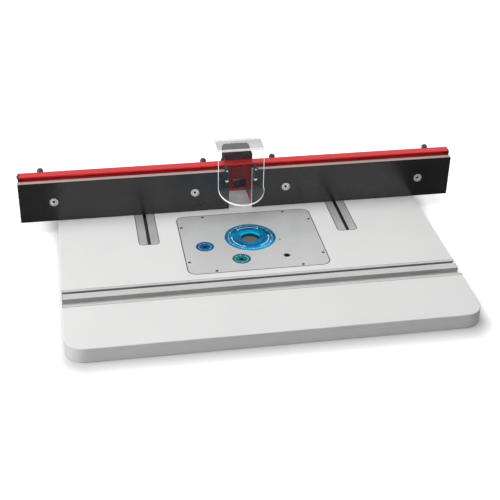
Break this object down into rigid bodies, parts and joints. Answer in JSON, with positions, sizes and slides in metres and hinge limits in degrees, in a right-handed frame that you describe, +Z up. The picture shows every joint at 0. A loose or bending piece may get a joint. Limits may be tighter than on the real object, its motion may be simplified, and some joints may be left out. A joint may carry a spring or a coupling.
{
  "type": "router table",
  "caption": "Bench router table top with insert plate, twist ring, mitre track and a split T-slot fence with dust hood and clear guard.",
  "frame": {"origin": "centre of the board's underside", "axes": "+X along the fence to the right, +Y to the rear, where the fence stands, +Z up"},
  "size_m": [0.9692, 0.6096, 0.1797],
  "materials": {
    "mdf": "raw fibreboard, seen only in the router opening",
    "white_laminate": "satin white laminate",
    "rim_plastic": "matt light grey edge banding",
    "track_aluminium": "clear anodised extrusion",
    "plate_aluminium": "brushed and clear anodised plate",
    "zinc_steel": "bright zinc plate",
    "black_steel": "black oxide",
    "black_plastic": "moulded, slight gloss",
    "black_facing": "smooth low-friction facing, semi-gloss",
    "blue_anodised": "bright blue anodised",
    "red_anodised": "bright red anodised",
    "clear_sheet": "clear sheet with polished edges"
  },
  "bodies": {
    "table": {"core_board": "mdf", "top_laminate": "white_laminate", "bottom_laminate": "white_laminate", "edge_band": "rim_plastic", "combo_track": "track_aluminium", "combo_track_screws": "zinc_steel", "left_fence_track": "track_aluminium", "right_fence_track": "track_aluminium", "fence_track_screws": "zinc_steel", "insert_plate": "plate_aluminium", "plate_levelling_screws": "black_steel", "starting_pin_bushing": "black_plastic", "ring_index_screw": "black_steel"},
    "ring": {"insert_ring": "blue_anodised"},
    "left_dial": {"left_dial": "blue_anodised", "left_dial_clip": "black_steel"},
    "front_dial": {"front_dial": "blue_anodised", "front_dial_clip": "black_steel"},
    "fence": {"fence_extrusion": "red_anodised", "left_end_cap": "black_plastic", "right_end_cap": "black_plastic", "end_cap_screws": "black_steel", "dust_hood": "black_plastic", "dust_hood_screws": "zinc_steel", "fence_clamp_bolts": "zinc_steel", "fence_clamp_washers": "zinc_steel", "guard_screws": "black_steel", "guard_spacers": "black_plastic", "guard_nuts": "zinc_steel"},
    "left_knob": {"left_clamp_knob": "black_plastic", "left_knob_insert": "zinc_steel"},
    "right_knob": {"right_clamp_knob": "black_plastic", "right_knob_insert": "zinc_steel"},
    "left_face": {"left_subfence": "black_facing", "left_face_bolts": "zinc_steel", "left_bolt_washers": "zinc_steel"},
    "right_face": {"right_subfence": "black_facing", "right_face_bolts": "zinc_steel", "right_bolt_washers": "zinc_steel"},
    "guard": {"guard_shield": "clear_sheet"},
    "left_inner_lever": {"left_inner_lever": "black_plastic", "left_inner_lever_hub": "zinc_steel"},
    "left_outer_lever": {"left_outer_lever": "black_plastic", "left_outer_lever_hub": "zinc_steel"},
    "right_inner_lever": {"right_inner_lever": "black_plastic", "right_inner_lever_hub": "zinc_steel"},
    "right_outer_lever": {"right_outer_lever": "black_plastic", "right_outer_lever_hub": "zinc_steel"}
  },
  "joints": [
    {"name": "fence_slide", "type": "slide", "parent": "table", "child": "fence", "axis": [0, 1, 0], "range_m": [-0.127, 0.038]},
    {"name": "left_face_slide", "type": "slide", "parent": "fence", "child": "left_face", "axis": [1, 0, 0], "range_m": [-0.02, 0.02]},
    {"name": "right_face_slide", "type": "slide", "parent": "fence", "child": "right_face", "axis": [-1, 0, 0], "range_m": [-0.02, 0.02]},
    {"name": "guard_slide", "type": "slide", "parent": "fence", "child": "guard", "axis": [0, 0, 1], "range_m": [0, 0.025]},
    {"name": "ring_twist", "type": "hinge", "parent": "table", "child": "ring", "pos_m": [0, 0.0406, 0.03175], "axis": [0, 0, 1], "range_deg": [0, 60]},
    {"name": "left_dial_turn", "type": "hinge", "parent": "table", "child": "left_dial", "pos_m": [-0.1013, 0.0154, 0.03175], "axis": [0, 0, 1], "continuous": true},
    {"name": "front_dial_turn", "type": "hinge", "parent": "table", "child": "front_dial", "pos_m": [-0.0325, -0.0424, 0.03175], "axis": [0, 0, 1], "continuous": true},
    {"name": "left_knob_turn", "type": "hinge", "parent": "fence", "child": "left_knob", "pos_m": [-0.216, 0.2322, 0.05175], "axis": [0, 0, 1], "continuous": true},
    {"name": "right_knob_turn", "type": "hinge", "parent": "fence", "child": "right_knob", "pos_m": [0.216, 0.2322, 0.05175], "axis": [0, 0, 1], "continuous": true},
    {"name": "left_inner_lever_turn", "type": "hinge", "parent": "left_face", "child": "left_inner_lever", "pos_m": [-0.1022, 0.19, 0.07835], "axis": [0, 1, 0], "range_deg": [-90, 18]},
    {"name": "left_outer_lever_turn", "type": "hinge", "parent": "left_face", "child": "left_outer_lever", "pos_m": [-0.4096, 0.19, 0.07835], "axis": [0, 1, 0], "range_deg": [-18, 90]},
    {"name": "right_inner_lever_turn", "type": "hinge", "parent": "right_face", "child": "right_inner_lever", "pos_m": [0.1022, 0.19, 0.07835], "axis": [0, 1, 0], "range_deg": [-18, 90]},
    {"name": "right_outer_lever_turn", "type": "hinge", "parent": "right_face", "child": "right_outer_lever", "pos_m": [0.4096, 0.19, 0.07835], "axis": [0, 1, 0], "range_deg": [-90, 18]}
  ]
}
